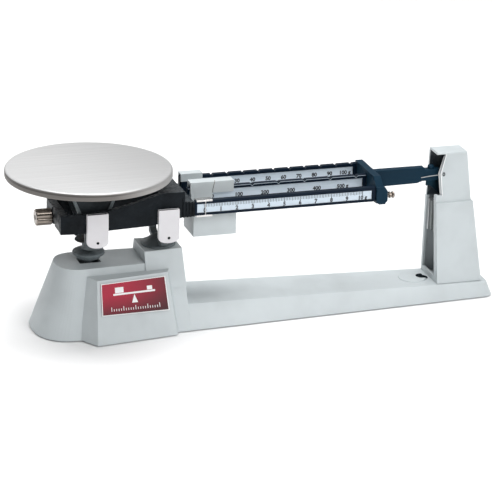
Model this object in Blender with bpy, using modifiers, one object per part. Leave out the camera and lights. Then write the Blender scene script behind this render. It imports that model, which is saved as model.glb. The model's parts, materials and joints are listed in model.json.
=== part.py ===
"""Triple beam balance, modelled as an assembly of separate pieces.

Frame: +X runs along the beams from the pan to the pillar, +Y to the back, +Z up.
The origin lies under the middle of the whole object.  Sizes below are in millimetres,
and X is counted from a datum line that CENTRING then moves onto the origin.
"""
import math

import bmesh
import bpy
from mathutils import Matrix, Vector

MM = 0.001
GAP = 0.35          # clearance between touching pieces

# ---- driving sizes -------------------------------------------------------------------
PLATE_R = 76.2      # a six inch weighing plate
PLATE_TOP = 152.4
RIM_H = 7.0
KNIFE_ARM = 66.0    # load knife to fulcrum knife
LOAD_X = -155.5
FULCRUM_X = LOAD_X + KNIFE_ARM
KNIFE_Z = 90.5
POST_Y = 19.5       # middle of the bearing posts
POST_HALF = 2.0

FRONT_ZERO = -53.1  # zero mark of the front scale
MID_PIN = -25.5     # first notches of the middle and rear beams
REAR_PIN = -46.0
MID_PITCH, MID_NOTCHES = 25.4, 6
REAR_PITCH, REAR_NOTCHES = 15.24, 11
BEAM_L, BEAM_R = -62.6, 111.9
PLATE_L, PLATE_END = -60.5, 108.2
BEAM_H = 14.0
BEAM_DEPTH = 5.0
# face of each scale plate (Y) and bottom of each beam (Z)
BEAMS = {"front": (-26.6, 107.4), "middle": (-0.4, 111.1), "rear": (26.6, 113.8)}

BASE_L, BASE_R = -210.1, 238.1
CENTRING = -0.5 * (LOAD_X - PLATE_R + BASE_R)
BASE_Z = 1.2        # lower rim of the base casting, above the feet's underside
NOSE_STEPS = 32     # facets round the blunt end of the pedestal
WALL = 3.0
PED_Z = 63.2        # low deck of the pedestal
STEP_Z = 73.5       # raised deck under the fulcrum stand
STEP_L = -107.6

PILLAR_L, PILLAR_R = 180.4, 226.2
PILLAR_HALF, PILLAR_FAR_HALF = 22.0, 19.4
LEDGE_Z, PILLAR_TOP = 95.5, 144.0
LINK_Z = 32.0       # height of the check rod in the hollow base
TILT_FIT = 0.8      # play beside pieces that rock with the beam
WALL_IN, WALL_OUT = 22.6, 27.5      # side walls of the beam casting
KNOB_Z = 108.4
KNOB_L, KNOB_R = -205.3, -189.8
ARM_L, ARM_R = 119.75, 186.0
ZERO_Z = 123.4      # height of the zero mark on the index plate
NEEDLE_TIP = Vector((180.6, -9.2, 121.9))
RIB_GROOVES = 4     # upright grooves near the end of the casting

FOOT_PLACES = ((-172.0, -26.0), (-172.0, 26.0), (199.5, -13.5), (199.5, 13.5))
PILLAR_SCREW_X = 213.0
PILLAR_SCREW_Y = (-12.0, 12.0)

# corners of the flat sloping face that carries the badge
PANEL_TOP = 56.8
PANEL_LOW_L, PANEL_LOW_R = Vector((-160.9, -58.0, BASE_Z)), Vector((-83.8, -48.4, BASE_Z))
PANEL_TOP_L = Vector((-157.3, -39.5, PANEL_TOP))
PANEL_TOP_R = PANEL_TOP_L + (PANEL_LOW_R - PANEL_LOW_L) * 0.88


def base_top(x):
    """Height of the low part of the base, which falls gently towards the pillar."""
    return 21.0 - 0.0245 * x


# ---- scene and materials -------------------------------------------------------------
for old in list(bpy.data.objects):
    bpy.data.objects.remove(old, do_unlink=True)

parts = bpy.data.collections.new("triple_beam_balance")
cutters = bpy.data.collections.new("cutters")
for group in (parts, cutters):
    bpy.context.scene.collection.children.link(group)


def make_material(name, colour, roughness, metallic):
    material = bpy.data.materials.new(name)
    material.use_nodes = True
    shader = material.node_tree.nodes["Principled BSDF"]
    shader.inputs["Base Color"].default_value = (*colour, 1.0)
    shader.inputs["Roughness"].default_value = roughness
    shader.inputs["Metallic"].default_value = metallic
    return material


GREY = make_material("grey_enamel", (0.62, 0.65, 0.66), 0.45, 0.0)
BLACK = make_material("black_casting", (0.015, 0.02, 0.025), 0.5, 0.1)
NAVY = make_material("navy_enamel", (0.012, 0.03, 0.055), 0.4, 0.1)
STEEL = make_material("stainless_steel", (0.68, 0.68, 0.68), 0.3, 1.0)
NICKEL = make_material("nickel_plate", (0.6, 0.57, 0.53), 0.2, 1.0)
SILVER = make_material("scale_aluminium", (0.62, 0.69, 0.75), 0.4, 0.6)
WHITE = make_material("white_enamel", (0.85, 0.85, 0.87), 0.4, 0.0)
DARK_GREY = make_material("dark_grey_casting", (0.07, 0.08, 0.085), 0.5, 0.2)
RUBBER = make_material("rubber", (0.03, 0.03, 0.03), 0.85, 0.0)
AGATE = make_material("agate", (0.45, 0.28, 0.2), 0.25, 0.0)
MAGNET = make_material("ferrite", (0.08, 0.08, 0.09), 0.6, 0.3)
BADGE = make_material("badge_red", (0.35, 0.01, 0.03), 0.35, 0.0)


# ---- tools ---------------------------------------------------------------------------
def finish(obj, name, material=None, collection=parts):
    """Name an object, give it its material and file it in its collection."""
    obj.name = name
    obj.data.name = name
    for holder in list(obj.users_collection):
        holder.objects.unlink(obj)
    collection.objects.link(obj)
    if material:
        obj.data.materials.clear()
        obj.data.materials.append(material)
    if collection is cutters:
        obj.hide_render = True
        obj.display_type = 'WIRE'
    return obj


def from_bmesh(bm, name, material=None, collection=parts):
    bmesh.ops.recalc_face_normals(bm, faces=bm.faces)
    mesh = bpy.data.meshes.new(name)
    bm.to_mesh(mesh)
    bm.free()
    obj = bpy.data.objects.new(name, mesh)
    bpy.context.scene.collection.objects.link(obj)
    return finish(obj, name, material, collection)


def box(name, x, y, z, material=None, collection=parts, bevel=0.0):
    """A block between pairs of X, Y and Z limits."""
    bm = bmesh.new()
    bmesh.ops.create_cube(bm, size=1.0)
    size = Vector((x[1] - x[0], y[1] - y[0], z[1] - z[0])) * MM
    bmesh.ops.scale(bm, vec=size, verts=bm.verts)
    obj = from_bmesh(bm, name, material, collection)
    obj.location = Vector((x[0] + x[1], y[0] + y[1], z[0] + z[1])) * 0.5 * MM
    if bevel:
        round_edges(obj, bevel)
    return obj


def round_edges(obj, width, segments=2, angle=40):
    modifier = obj.modifiers.new("rounded", 'BEVEL')
    modifier.width = width * MM
    modifier.segments = segments
    modifier.limit_method = 'ANGLE'
    modifier.angle_limit = math.radians(angle)
    return obj


def rod(name, centre, radius, length, axis, material=None, collection=parts, sides=24):
    """A cylinder about an axis named X, Y or Z."""
    bpy.ops.mesh.primitive_cylinder_add(vertices=sides, radius=radius * MM, depth=length * MM)
    obj = bpy.context.active_object
    turn = {'X': Matrix.Rotation(math.pi / 2, 4, 'Y'),
            'Y': Matrix.Rotation(math.pi / 2, 4, 'X'), 'Z': Matrix.Identity(4)}[axis]
    obj.data.transform(turn)
    obj.data.shade_smooth()
    obj.data.set_sharp_from_angle(angle=math.radians(40))
    obj.location = Vector(centre) * MM
    return finish(obj, name, material, collection)


def turned(name, centre, profile, material=None, collection=parts, steps=32, axis='Z'):
    """A profile of (radius, height) points, running down the outer side, screwed round.

    A profile that ends where it starts is closed, and makes a ring.
    """
    bm = bmesh.new()
    closed = profile[0] == profile[-1]
    points = [bm.verts.new((r * MM, 0, z * MM)) for r, z in (profile[:-1] if closed else profile)]
    if closed:
        points.append(points[0])
    for a, b in zip(points, points[1:]):
        bm.edges.new((a, b))
    mesh = bpy.data.meshes.new(name)
    bm.to_mesh(mesh)
    bm.free()
    if axis == 'X':
        mesh.transform(Matrix.Rotation(math.pi / 2, 4, 'Y'))
    obj = bpy.data.objects.new(name, mesh)
    bpy.context.scene.collection.objects.link(obj)
    screw = obj.modifiers.new("turned", 'SCREW')
    screw.axis = axis
    screw.steps = steps
    screw.render_steps = steps
    screw.use_merge_vertices = True
    screw.merge_threshold = 0.00002
    screw.use_smooth_shade = True
    obj.location = Vector(centre) * MM
    return finish(obj, name, material, collection)


def sheet(name, outline, plane, near, far, material=None, collection=parts):
    """A flat outline in plane XZ, YZ or XY, with its faces at near and far."""
    curve = bpy.data.curves.new(name, 'CURVE')
    curve.dimensions = '2D'
    curve.fill_mode = 'BOTH'
    curve.extrude = abs(far - near) * 0.5 * MM
    spline = curve.splines.new('POLY')
    spline.points.add(len(outline) - 1)
    for point, (u, v) in zip(spline.points, outline):
        point.co = (u * MM, v * MM, 0, 1)
    spline.use_cyclic_u = True
    holder = bpy.data.objects.new(name + "_outline", curve)
    bpy.context.scene.collection.objects.link(holder)
    bpy.context.view_layer.update()
    shape = holder.evaluated_get(bpy.context.evaluated_depsgraph_get())
    mesh = bpy.data.meshes.new_from_object(shape)
    bpy.data.objects.remove(holder, do_unlink=True)
    turn = {'XY': Matrix.Identity(4), 'XZ': Matrix.Rotation(math.pi / 2, 4, 'X'),
            'YZ': Matrix(((0, 0, 1, 0), (1, 0, 0, 0), (0, 1, 0, 0), (0, 0, 0, 1)))}[plane]
    middle = (near + far) * 0.5 * MM
    mesh.transform(turn)
    bm = bmesh.new()
    bm.from_mesh(mesh)
    bmesh.ops.remove_doubles(bm, verts=bm.verts, dist=0.00001)
    obj = from_bmesh(bm, name, material, collection)
    obj.location = {'XY': (0, 0, middle), 'XZ': (0, middle, 0), 'YZ': (middle, 0, 0)}[plane]
    return obj


def loft(name, rings, material=None, collection=parts):
    """A closed skin over rings of (x, y, z) points, each with as many points."""
    bm = bmesh.new()
    rows = [[bm.verts.new(Vector(p) * MM) for p in ring] for ring in rings]
    for low, high in zip(rows, rows[1:]):
        for i in range(len(low)):
            j = (i + 1) % len(low)
            bm.faces.new((low[i], low[j], high[j], high[i]))
    bm.faces.new(list(reversed(rows[0])))
    bm.faces.new(rows[-1])
    return from_bmesh(bm, name, material, collection)


def hull(name, points, material=None, collection=parts):
    bm = bmesh.new()
    for p in points:
        bm.verts.new(Vector(p) * MM)
    bmesh.ops.convex_hull(bm, input=bm.verts)
    return from_bmesh(bm, name, material, collection)


def combine(target, other, operation):
    modifier = target.modifiers.new(operation.lower(), 'BOOLEAN')
    modifier.operation = operation
    modifier.solver = 'EXACT'
    modifier.object = other
    if other.users_collection[0] is not cutters:
        finish(other, other.name, None, cutters)


def cut(target, *others):
    for other in others:
        combine(target, other, 'DIFFERENCE')


def join(target, *others):
    for other in others:
        combine(target, other, 'UNION')


def pivot(name, place, parent=None):
    """An empty on a joint's axis; place is in world millimetres."""
    empty = bpy.data.objects.new(name, None)
    empty.empty_display_size = 0.01
    parts.objects.link(empty)
    if parent:
        empty.parent = parent
        empty.location = Vector(place) * MM - parent_place(parent)
    else:
        empty.location = Vector(place) * MM
    return empty


def parent_place(obj):
    place = Vector((0, 0, 0))
    while obj:
        place += obj.location
        obj = obj.parent
    return place


def hang(parent, *objects):
    """Parent pieces to a joint's empty and keep them where they are."""
    for obj in objects:
        obj.location = obj.location - parent_place(parent)
        obj.parent = parent


def lerp(a, b, t):
    return a + (b - a) * t


def arc(cx, cy, r, start, end, steps):
    return [(cx + r * math.cos(math.radians(lerp(start, end, i / steps))),
             cy + r * math.sin(math.radians(lerp(start, end, i / steps))))
            for i in range(steps + 1)]


# ---- base casting --------------------------------------------------------------------
def pedestal_ring(z, inset=0.0):
    """Plan outline of the pedestal at a height: a blunt round left end, a square right end."""
    t = z / PED_Z
    left = BASE_L + 22.5 * t + inset
    right = BASE_L + 142.0 - 3.0 * t - inset
    half_l = 41.0 - 17.0 * t - inset
    half_r = 42.6 - 23.0 * t - inset
    nose = 34.0 - 12.0 * t
    ring = []
    for i in range(NOSE_STEPS + 1):
        a = math.radians(90 + 180 * i / NOSE_STEPS)
        u = math.copysign(abs(math.cos(a)) ** (2 / 2.3), math.cos(a))
        v = math.copysign(abs(math.sin(a)) ** (2 / 2.3), math.sin(a))
        ring.append((left + nose + nose * u, half_l * v, z))
    r = 1.2
    ring += [(x, y, z) for x, y in arc(right - r, -half_r + r, r, -90, 0, 3)]
    ring += [(x, y, z) for x, y in arc(right - r, half_r - r, r, 0, 90, 3)]
    return ring


def bar_ring(level, inset=0.0):
    """Plan outline of the low bar of the base: level 0 at the rim, 1 at the top."""
    start, end = -110.0, BASE_R - inset - 6.2 * level
    r = 9.0
    outline = [(start, -1), (end - r, -1)]
    outline += [(x, -1) for x, _ in arc(end - r, 0, r, -90, 0, 4)][1:]
    ring = []

    def half(x):
        low = 43.8 - 0.0535 * (x - start)
        top = 30.0 - 0.0240 * (x - start)
        return lerp(low, top, level) - inset

    def height(x):
        return lerp(BASE_Z, base_top(x), level)

    corner = [(end - r + r * math.sin(math.radians(a)), r - r * math.cos(math.radians(a)))
              for a in (0, 22, 45, 67, 90)]
    front = [(start, 0.0)] + corner
    for x, back_off in front:
        ring.append((x, -half(x) + back_off, height(x)))
    for x, back_off in reversed(front):
        ring.append((x, half(x) - back_off, height(x)))
    return ring


def make_base():
    base = loft("base_casting", [pedestal_ring(BASE_Z), pedestal_ring(PED_Z)], GREY)
    step = loft("step_block", [
        [(STEP_L, -29.9, 40.0), (-69.8, -28.2, 40.0), (-69.8, 28.2, 40.0), (STEP_L, 29.9, 40.0)],
        [(STEP_L, -18.9, STEP_Z), (-71.4, -16.0, STEP_Z), (-71.4, 16.0, STEP_Z),
         (STEP_L, 18.9, STEP_Z)]], None, cutters)
    bar = loft("base_bar", [bar_ring(0.0), bar_ring(0.88, -0.9), bar_ring(1.0)], None, cutters)
    panel = hull("badge_panel", [
        (-175.6, -35.0, BASE_Z), PANEL_LOW_L, PANEL_LOW_R, (-79.8, -40.0, BASE_Z),
        (-164.0, -24.0, PANEL_TOP), PANEL_TOP_L, PANEL_TOP_R, (-85.6, -23.0, PANEL_TOP)],
        None, cutters)
    join(base, step, bar, panel)
    hollow = loft("pedestal_hollow", [
        pedestal_ring(-6.0, WALL), pedestal_ring(PED_Z - WALL, WALL)], None, cutters)
    low = []
    for level in (-0.4, 0.86):
        low.append(bar_ring(level, WALL))
    bar_hollow = loft("bar_hollow", low, None, cutters)
    cut(base, hollow, bar_hollow)
    # bosses for the feet
    for x, y in FOOT_PLACES:
        low, high = 5.35, min(18.45, base_top(x) - 0.9)
        join(base, rod("foot_boss", (x, y, (low + high) / 2), 7.6, high - low, 'Z',
                       None, cutters, 20))
    # opening for the pan support's stem and holes for the screws
    cut(base, box("stem_opening", (LOAD_X - 10, LOAD_X + 10), (-8, 8), (50, 70), None, cutters))
    cut(base, rod("stand_screw_hole", (FULCRUM_X, 0, 65), 2.4, 30, 'Z', None, cutters, 16))
    for y in PILLAR_SCREW_Y:
        cut(base, rod("pillar_screw_hole", (PILLAR_SCREW_X, y, 20), 2.4, 20, 'Z',
                      None, cutters, 16))
    # round seat for loose weights in front of the pillar, and a hole beside it
    seat_x = 163.0
    seat = turned("weight_seat", (seat_x, 0, base_top(seat_x)), [
        (0.0, 1.3), (12.2, 1.3), (13.2, 0.9), (13.6, 0.0), (13.6, -2.0), (0.0, -2.0)],
        None, cutters, 32)
    join(base, seat)
    cut(base, rod("seat_hole", (172.9, 0, 20), 6.0, 20, 'Z', None, cutters, 24))
    return base


def make_base_fittings():
    for (x, y), label in zip(FOOT_PLACES, ("pan_front", "pan_back", "pillar_front", "pillar_back")):
        turned("rubber_foot_" + label, (x, y, 0), [
            (0.0, 5.0), (6.2, 5.0), (6.6, 4.5), (6.8, 1.0), (6.2, 0.0), (0.0, 0.0)],
            RUBBER, parts, 24)
    normal = (PANEL_LOW_R - PANEL_LOW_L).cross(PANEL_TOP_L - PANEL_LOW_L).normalized()

    def on_panel(u, v, lift):
        low = PANEL_LOW_L.lerp(PANEL_LOW_R, u)
        return low.lerp(PANEL_TOP_L.lerp(PANEL_TOP_R, u), v) + normal * lift

    corners = [(0.055, 0.45), (0.945, 0.405), (0.955, 0.945), (0.045, 0.945)]
    loft("badge_plate", [[on_panel(u, v, 0.5) for u, v in corners],
                         [on_panel(u, v, 1.1) for u, v in corners]], BADGE)


# ---- pillar --------------------------------------------------------------------------
def tower_ring(z, left, right, half, far_half=None):
    """Plan outline of the pillar at a height, or where it stands on the base if z is None.

    far_half is half its width at the right end, where that is less than at the left.
    """
    far = far_half or half
    corners = ((left, -half), (right, -far), (right, far), (left, half))
    return [(x, y, base_top(x) + GAP if z is None else z) for x, y in corners]


def make_pillar():
    pillar = loft("pillar_housing", [
        tower_ring(None, PILLAR_L, PILLAR_R, PILLAR_HALF, PILLAR_FAR_HALF),
        tower_ring(LEDGE_Z, 178.4, 215.4, 14.6)], GREY)
    upper = loft("pillar_head", [
        tower_ring(LEDGE_Z - 4, 178.3, 214.2, 13.4),
        tower_ring(PILLAR_TOP - 1.2, 178.7, 209.0, 10.0),
        tower_ring(PILLAR_TOP, 179.2, 208.2, 9.3)], None, cutters)
    join(pillar, upper)
    inner = loft("pillar_hollow", [
        tower_ring(10, PILLAR_L + 2.5, PILLAR_R - 1.2, PILLAR_HALF - 1.2, PILLAR_FAR_HALF - 1.2),
        tower_ring(LEDGE_Z - 3, 181.0, 212.2, 11.9)], None, cutters)
    inner_top = loft("pillar_head_hollow", [
        tower_ring(LEDGE_Z - 6, 181.0, 212.0, 11.2),
        tower_ring(PILLAR_TOP - 2.4, 181.4, 206.5, 7.6)], None, cutters)
    cut(pillar, inner, inner_top)
    # the side towards the pan is open, between a wide front flange and a narrow back one
    slot = loft("pillar_slot", [
        [(170, -12.4, 21.8), (190, -12.4, 21.8), (190, 18.0, 21.8), (170, 18.0, 21.8)],
        [(170, -7.4, 96.0), (190, -7.4, 96.0), (190, 10.6, 96.0), (170, 10.6, 96.0)],
        [(170, -7.2, 142.2), (190, -7.2, 142.2), (190, 7.2, 142.2), (170, 7.2, 142.2)]],
        None, cutters)
    window = sheet("pillar_window", [
        (170, 102.4), (184.4, 102.4), (182.4, ZERO_Z), (187.6, 142.2), (170, 142.2)],
        'XZ', -20, -5, None, cutters)
    cut(pillar, slot, window)
    # bosses for the two screws that hold the pillar down
    for y in PILLAR_SCREW_Y:
        join(pillar, box("pillar_boss", (PILLAR_SCREW_X - 5, PILLAR_R - 1.4), (y - 4, y + 4),
                         (16.8, 31), None, cutters))
        cut(pillar, rod("pillar_screw_hole_up", (PILLAR_SCREW_X, y, 20), 2.4, 20, 'Z',
                        None, cutters, 16))
    for y, label in zip(PILLAR_SCREW_Y, ("front", "back")):
        screw("pillar_screw_" + label, (PILLAR_SCREW_X, y, 0), 10.2, 28.5, 3.6)
    return pillar


def screw(name, place, low, high, head_r, material=NICKEL):
    """A screw driven upwards: a slotted round head and a plain shank."""
    x, y, _ = place
    body = turned(name, (x, y, 0), [
        (0.0, high), (1.6, high), (2.0, high - 0.5), (2.0, low + 3.0), (head_r, low + 3.0),
        (head_r, low + 0.8), (head_r - 0.8, low), (0.0, low)], material, parts, 20)
    cut(body, box(name + "_slot", (x - head_r - 1, x + head_r + 1), (y - 0.5, y + 0.5),
                  (low - 1, low + 1.0), None, cutters))
    return body


def make_index_plate():
    """White plate behind the pillar's window, whose edge comes to a point at the zero."""
    lip = 0.8
    plate = sheet("index_plate", [
        (187.6 - lip, 139.6), (191.0, 139.6), (191.0, 101.0), (184.4 - lip, 101.0),
        (182.4 - lip, ZERO_Z)], 'XZ', -8.4, -7.6, WHITE)
    slope = (11.2 - 7.6) / (PILLAR_TOP - LEDGE_Z + 3.6)
    for vertex in plate.data.vertices:
        vertex.co.y += (vertex.co.z - ZERO_Z * MM) * slope
    return plate


def make_damper():
    """Eddy current damper: two magnets in a steel channel, fixed in the pillar."""
    z = (62.0, 93.0)
    channel = sheet("damper_channel", [
        (183.6, -10.5), (207.0, -10.5), (207.0, 10.4), (180.0, 10.4), (180.0, 7.8),
        (202.8, 7.8), (202.8, -7.8), (183.6, -7.8)], 'XY', *z, DARK_GREY)
    for side, label in ((-1, "front"), (1, "back")):
        y = sorted((side * 2.2, side * 7.4))
        box("damper_magnet_" + label, (181.0, 202.0), y, (z[0] + 1, z[1] - 1), MAGNET, parts, 0.4)
    return channel


# ---- fulcrum stand -------------------------------------------------------------------
def make_stand():
    foot_z = STEP_Z + GAP
    stand = turned("fulcrum_stand", (FULCRUM_X, 0, foot_z), [
        (0.0, 9.6), (4.2, 9.4), (7.4, 7.6), (10.4, 5.0), (13.2, 3.2), (15.4, 2.2), (16.0, 1.4),
        (16.0, 0.0), (0.0, 0.0)], DARK_GREY, parts, 36)
    inner, outer = POST_Y - POST_HALF, POST_Y + POST_HALF
    fork = sheet("stand_fork", [
        (-outer, 79.0), (-9.0, 74.8), (9.0, 74.8), (outer, 79.0), (outer, 85.2), (inner, 85.2),
        (inner, 83.0), (12.0, 80.2), (-12.0, 80.2), (-inner, 83.0), (-inner, 85.2), (-outer, 85.2)],
        'YZ', FULCRUM_X - 3.2, FULCRUM_X + 3.2, None, cutters)
    join(stand, fork)
    cut(stand, rod("stand_tap", (FULCRUM_X, 0, 70), 2.4, 14, 'Z', None, cutters, 16))
    screw("stand_screw", (FULCRUM_X, 0, 0), 53.8, 76.4, 4.0)
    for side, label in ((-1, "front"), (1, "back")):
        near, far = sorted((side * inner, side * outer))
        x, z = FULCRUM_X, KNIFE_Z
        sheet("fulcrum_bearing_" + label, [
            (x - 4, 85.2 + GAP), (x + 4, 85.2 + GAP), (x + 4, z + 1.2), (x + 3.2, z + 1.2),
            (x, z - GAP - 0.1), (x - 3.2, z + 1.2), (x - 4, z + 1.2)], 'XZ', near, far, AGATE)


# ---- beam ----------------------------------------------------------------------------
CASTING_OUTLINE = [
    (-188.1, 99.4), (-164.0, 98.6), (-142.7, 99.9), (-105.8, 101.2), (-88.0, 103.6),
    (-77.0, 106.4), (-62.9, 106.8), (-62.9, 120.6), (-71.9, 121.2), (-72.6, 131.3),
    (-94.0, 131.3), (-117.6, 124.4), (-142.5, 118.3), (-165.0, 116.7), (-188.1, 116.7)]


def make_casting():
    casting = sheet("beam_casting", CASTING_OUTLINE, 'XZ', -WALL_OUT, -WALL_IN, BLACK)
    back = sheet("casting_back_wall", CASTING_OUTLINE, 'XZ', WALL_IN, WALL_OUT, None, cutters)
    end = box("casting_end_wall", (-188.0, -180.6), (-25, 25), (100.0, 116.4), None, cutters)
    cross = sheet("casting_cross_wall", [
        (-93.6, 131.0), (-93.6, 127.8), (-77.0, 127.8), (-70.5, 116.5), (-70.5, 108.0),
        (-63.1, 108.0), (-63.1, 120.3), (-72.1, 120.9), (-72.8, 131.0)], 'XZ', -25, 25,
        None, cutters)
    join(casting, back, end, cross)
    for x, low, half in ((FULCRUM_X, 91.6, 5.2), (LOAD_X, 84.6, 5.2)):
        for side in (-1, 1):
            y = sorted((side * WALL_IN, side * WALL_OUT))
            join(casting, box("knife_lug", (x - half, x + half), y, (low, 104), None, cutters))
    # seats of the four knives
    for x, edge, up in ((FULCRUM_X, KNIFE_Z, 1), (LOAD_X, KNIFE_Z, -1)):
        cut(casting, sheet("knife_seat", knife_outline(x, edge, up, GAP), 'XZ', -40, 40,
                           None, cutters))
    for i in range(RIB_GROOVES):
        x = -75.4 + i * 3.1
        for side in (-1, 1):
            y = sorted((side * (WALL_OUT - 1.1), side * (WALL_OUT + 2)))
            cut(casting, box("rib_groove", (x, x + 1.7), y, (100, 125), None, cutters))
    cut(casting, rod("zero_rod_hole", (-184, 0, KNOB_Z), 2.0 + GAP, 20, 'X', None, cutters, 20))
    cut(casting, rod("knob_relief", (-188.0, 0, KNOB_Z), 8.6, 2.0, 'X', None, cutters, 32))
    return casting


def knife_outline(x, edge, up, grow=0.0):
    """Section of a knife: a sharp edge at height edge, its body on the side up."""
    g = grow
    points = [(x, edge - up * 1.6 * g), (x + 2.4 + g, edge + up * 4.0),
              (x + 2.4 + g, edge + up * (5.0 + g)), (x - 2.4 - g, edge + up * (5.0 + g)),
              (x - 2.4 - g, edge + up * 4.0)]
    return points if up > 0 else list(reversed(points))


def make_knives():
    made = []
    for label, x, up in (("fulcrum", FULCRUM_X, 1), ("load", LOAD_X, -1)):
        for side, end in ((-1, "front"), (1, "back")):
            near, far = sorted((side * (POST_Y - POST_HALF + 0.3), side * (WALL_OUT - 0.4)))
            made.append(sheet(f"{label}_knife_{end}", knife_outline(x, KNIFE_Z, up), 'XZ',
                              near, far, STEEL))
    return made


def make_cover(name, x, low, high, side):
    """Bearing cover: a shallow open-topped pocket with a round bottom and a sight hole."""
    half, depth, wall, drop = 9.8, 4.2, 0.9, 5.0
    back = WALL_OUT + GAP

    def outline(inset, top):
        bottom = [(u, v) for u, v in arc(0, 0, 1, 180, 360, 12)]
        h = half - inset
        return ([(x - h, top)]
                + [(x + h * u, low + inset + drop + drop * v) for u, v in bottom]
                + [(x + h, top)])

    def between(near, far):
        return sorted((side * (back + near), side * (back + far)))

    cover = sheet(name, outline(0, high), 'XZ', *between(0, depth), WHITE)
    cut(cover, sheet(name + "_pocket", outline(wall, high + 3), 'XZ',
                     *between(wall, depth - wall), None, cutters))
    cut(cover, rod(name + "_hole", (x, side * (back + depth), low + 4.9), 1.3, 4, 'Y',
                   None, cutters, 16))
    return cover


def make_covers():
    made = []
    for side, end in ((-1, "front"), (1, "back")):
        made.append(make_cover("load_cover_" + end, LOAD_X + 0.7, 85.4, 117.4, side))
        made.append(make_cover("fulcrum_cover_" + end, FULCRUM_X + 1.2, 84.8, 116.6, side))
    return made


def make_beam(label):
    """One beam: a channel whose shallow recess holds the scale plate."""
    face, low = BEAMS[label]
    flange = face - 1.0
    beam = box(label + "_beam", (BEAM_L, BEAM_R), (flange, flange + BEAM_DEPTH),
               (low, low + BEAM_H), BLACK if label == "front" else NAVY)
    cut(beam, box(label + "_recess", (PLATE_L - GAP, PLATE_END + GAP),
                  (flange - 5, face + 0.6 + GAP), (low + 2.0, low + BEAM_H - 3.0), None, cutters))
    first, pitch, count = {"front": (0, 0, 0), "middle": (MID_PIN, MID_PITCH, MID_NOTCHES),
                           "rear": (REAR_PIN, REAR_PITCH, REAR_NOTCHES)}[label]
    for i in range(count):
        x, top = first + i * pitch, low + BEAM_H
        cut(beam, sheet(f"{label}_notch_{i}", [
            (x, top - 1.7), (x + 1.9, top + 0.6), (x - 1.9, top + 0.6)], 'XZ',
            flange - 2, flange + BEAM_DEPTH + 2, None, cutters))
    plate = box(label + "_scale_plate", (PLATE_L, PLATE_END), (face, face + 0.6),
                (low + 2.0 + GAP, low + BEAM_H - 3.0 - GAP), SILVER)
    return beam, plate


def make_yoke():
    """Cross piece that joins the right ends of the beams, with a lug at the front."""
    left, right = BEAM_R + GAP, 119.4
    yoke = sheet("beam_yoke", [
        (-30.0, 106.0), (-24.0, 105.2), (0.0, 109.0), (31.6, 112.6), (31.6, 129.2),
        (-18.5, 129.2), (-27.0, 122.0), (-30.0, 118.0)], 'YZ', left, right, NAVY)
    lug = sheet("yoke_lug", [
        (left, 107.0), (left + 2.6, 104.7), (120.6, 104.7), (123.2, 108.0), (123.2, 117.0),
        (120.4, 121.4), (left, 121.4)], 'XZ', -30.0, -24.0, None, cutters)
    join(yoke, lug)
    return yoke


def make_arm():
    arm = sheet("pointer_arm", [
        (ARM_L, 112.6), (162.2, 113.3), (167.9, 115.0), (ARM_R, 115.2), (ARM_R, 126.0),
        (170.4, 126.2), (168.8, 128.5), (ARM_L, 128.7)], 'XZ', -3.6, 3.6, NAVY)
    needle = loft("pointer_needle", [
        [(165.8, -4.5, 118.5), (165.8, -4.0, 118.5), (165.8, -4.0, 119.2), (165.8, -4.5, 119.2)],
        [(174.0, -5.2, 119.6), (174.0, -4.7, 119.6), (174.0, -4.7, 120.4), (174.0, -5.2, 120.4)],
        [tuple(NEEDLE_TIP + Vector((0, dy, dz)))
         for dy, dz in ((-0.25, -0.3), (0.25, -0.3), (0.25, 0.3), (-0.25, 0.3))]], WHITE)
    nut = turned("arm_screw", (176.6, 0, 126.2 + GAP), [
        (0.0, 3.2), (1.9, 3.2), (2.7, 2.7), (3.0, 1.8), (3.0, 0.0), (0.0, 0.0)], NICKEL, parts, 20)
    cut(nut, box("arm_screw_slot", (172, 181), (-0.4, 0.4), (128.6, 131), None, cutters))
    vane = sheet("damping_vane", [
        (172.4, 115.0 - GAP), (172.4, 109.4), (176.6, 109.4), (187.0, 100.0), (187.0, 64.0),
        (201.0, 64.0), (201.0, 100.0), (185.0, 115.0 - GAP)], 'XZ', -0.6, 0.6, SILVER)
    hanger = turned("weight_hanger_stud", (123.2 + GAP, -27.0, 112.6), [
        (0.0, 6.7), (2.4, 6.7), (3.1, 6.0), (3.1, 4.5), (1.8, 4.2), (1.8, 3.2), (3.1, 2.9),
        (3.1, 1.4), (1.6, 1.2), (1.6, 0.0), (0.0, 0.0)], NICKEL, parts, 20, 'X')
    return arm, needle, nut, vane, hanger


def make_zero_adjuster():
    rod_piece = rod("zero_rod", ((KNOB_L + 2.4 - 176.0) / 2, 0, KNOB_Z), 2.0,
                    -176.0 - KNOB_L - 2.4, 'X', NICKEL)
    flutes = 14
    ring = []
    for i in range(flutes * 4):
        a = 2 * math.pi * i / (flutes * 4)
        r = 7.7 - (0.0, 0.35, 0.7, 0.35)[i % 4]
        ring.append((r * math.cos(a), r * math.sin(a)))

    def section(x, scale):
        return [(x, u * scale, v * scale) for u, v in ring]

    length = KNOB_R - KNOB_L
    knob = loft("zero_knob", [section(0.0, 0.88), section(0.9, 1.0), section(length - 1.2, 1.0),
                              section(length, 0.84)], NICKEL)
    knob.location = Vector((KNOB_L, 0, KNOB_Z)) * MM
    cut(knob, rod("knob_bore", ((KNOB_L + KNOB_R) / 2, 0, KNOB_Z), 2.0 + GAP, 40, 'X', None,
                  cutters, 20))
    return rod_piece, knob


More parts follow.
